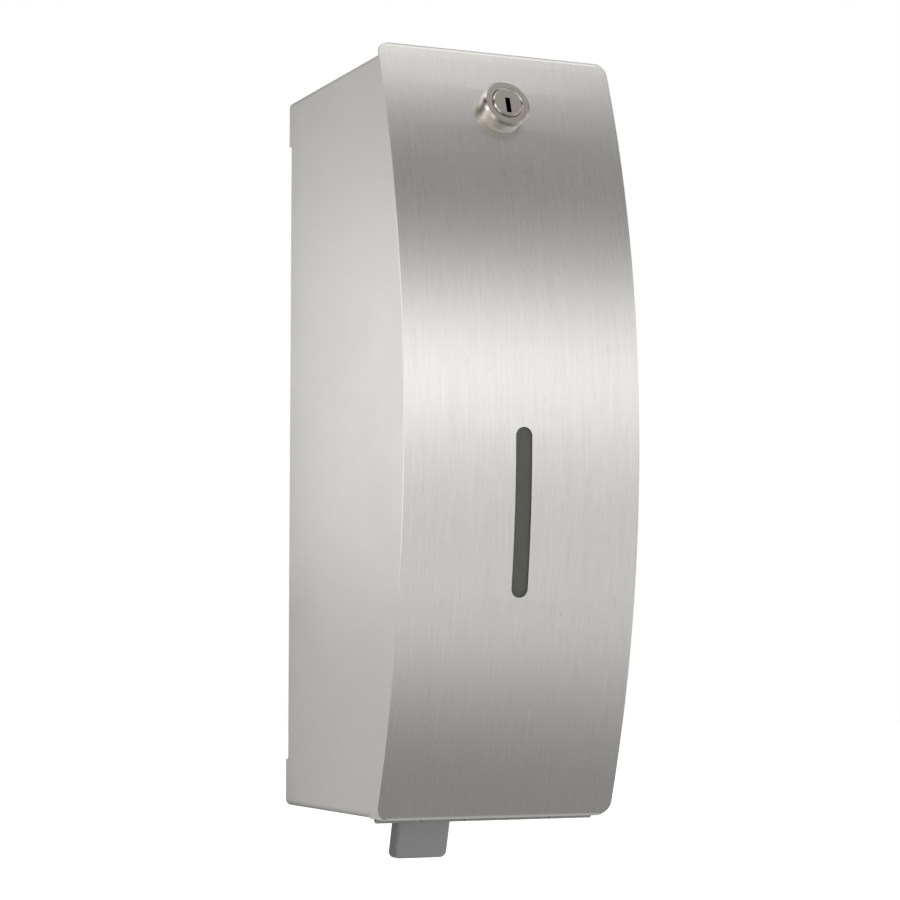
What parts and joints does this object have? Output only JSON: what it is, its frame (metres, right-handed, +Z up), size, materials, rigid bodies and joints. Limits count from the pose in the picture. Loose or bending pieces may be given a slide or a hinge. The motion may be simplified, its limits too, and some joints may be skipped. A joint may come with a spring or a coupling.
{
  "type": "wall mounted soap dispenser",
  "caption": "Slim stainless steel liquid soap dispenser for a wall, with a curved locking door, a level slot and a push lever below that works a piston pump.",
  "frame": {"origin": "middle of the wall face, at half the height of the case", "axes": "+Z up, +Y into the wall, door facing -Y, +X to the right seen from the front"},
  "size_m": [0.11, 0.1493, 0.3566],
  "materials": {
    "case_stainless": "fine matte grain",
    "galvanised_steel": "dull zinc coat",
    "door_stainless": "satin, brushed upright",
    "smoked_acrylic": "smooth, smoked",
    "lock_chrome": "polished",
    "zinc_plate": "bright zinc plate",
    "bright_steel": "ground and polished",
    "tank_polyethylene": "translucent natural",
    "lid_plastic": "moulded, fine texture",
    "seal_rubber": "matte",
    "pump_acetal": "moulded, smooth",
    "nut_plastic": "moulded, smooth",
    "lever_plastic": "fine matte grain"
  },
  "bodies": {
    "case": {"case_shell": "case_stainless", "back_plate": "galvanised_steel", "hinge_leaf": "galvanised_steel", "hinge_pin": "bright_steel", "lock_keeper": "galvanised_steel", "tank_body": "tank_polyethylene", "tank_hook": "galvanised_steel", "lid_pin": "bright_steel", "neck_seal": "seal_rubber", "union_nut": "nut_plastic", "pump_body": "pump_acetal", "inlet_cage": "pump_acetal", "inlet_seat": "pump_acetal", "outlet_seat": "pump_acetal", "nozzle": "pump_acetal", "pump_cap": "pump_acetal", "pump_bracket": "galvanised_steel", "bracket_screws": "zinc_plate", "lever_pin": "bright_steel", "pin_clips": "zinc_plate", "pump_spring": "bright_steel", "outlet_spring": "bright_steel"},
    "door": {"door_skin": "door_stainless", "door_frame": "galvanised_steel", "door_rail_left": "galvanised_steel", "door_rail_right": "galvanised_steel", "window_lens": "smoked_acrylic", "window_retainer": "galvanised_steel", "lock_housing": "lock_chrome", "lock_washer": "zinc_plate", "lock_nut": "zinc_plate"},
    "lock_barrel": {"lock_plug": "lock_chrome", "lock_cam": "zinc_plate", "cam_screw": "zinc_plate"},
    "lever": {"push_lever": "lever_plastic"},
    "piston_rod": {"piston": "pump_acetal", "piston_seal": "seal_rubber", "push_button": "nut_plastic"},
    "lid": {"tank_lid": "lid_plastic", "lid_seal": "seal_rubber"},
    "inlet_valve": {"inlet_ball": "bright_steel"},
    "outlet_valve": {"outlet_ball": "bright_steel"}
  },
  "joints": [
    {"name": "door_hinge", "type": "hinge", "parent": "case", "child": "door", "pos_m": [0, -0.1086, -0.1645], "axis": [1, 0, 0], "range_deg": [0, 95]},
    {"name": "lock_turn", "type": "hinge", "parent": "door", "child": "lock_barrel", "pos_m": [0, -0.1329, 0.1431], "axis": [0, -0.9521, 0.3057], "range_deg": [0, 90]},
    {"name": "lever_pivot", "type": "hinge", "parent": "case", "child": "lever", "pos_m": [0, -0.03, -0.154], "axis": [1, 0, 0], "range_deg": [0, 16], "stiffness_Nm_per_rad": 0.3, "springref_deg": -11.46},
    {"name": "piston_slide", "type": "slide", "parent": "case", "child": "piston_rod", "axis": [0, -1, 0], "range_m": [0, 0.0045], "deforming": ["pump_spring"]},
    {"name": "lid_hinge", "type": "hinge", "parent": "case", "child": "lid", "pos_m": [0, -0.04, 0.1], "axis": [-1, 0, 0], "range_deg": [0, 95]},
    {"name": "inlet_ball_lift", "type": "slide", "parent": "case", "child": "inlet_valve", "axis": [0, 0, 1], "range_m": [0, 0.0015]},
    {"name": "outlet_ball_drop", "type": "slide", "parent": "case", "child": "outlet_valve", "axis": [0, 0, -1], "range_m": [0, 0.0015], "stiffness_N_per_m": 40, "springref_m": -0.002, "deforming": ["outlet_spring"]}
  ],
  "couplings": [
    {"joint": "piston_slide", "follows": "lever_pivot", "m_per_rad": 0.016}
  ]
}
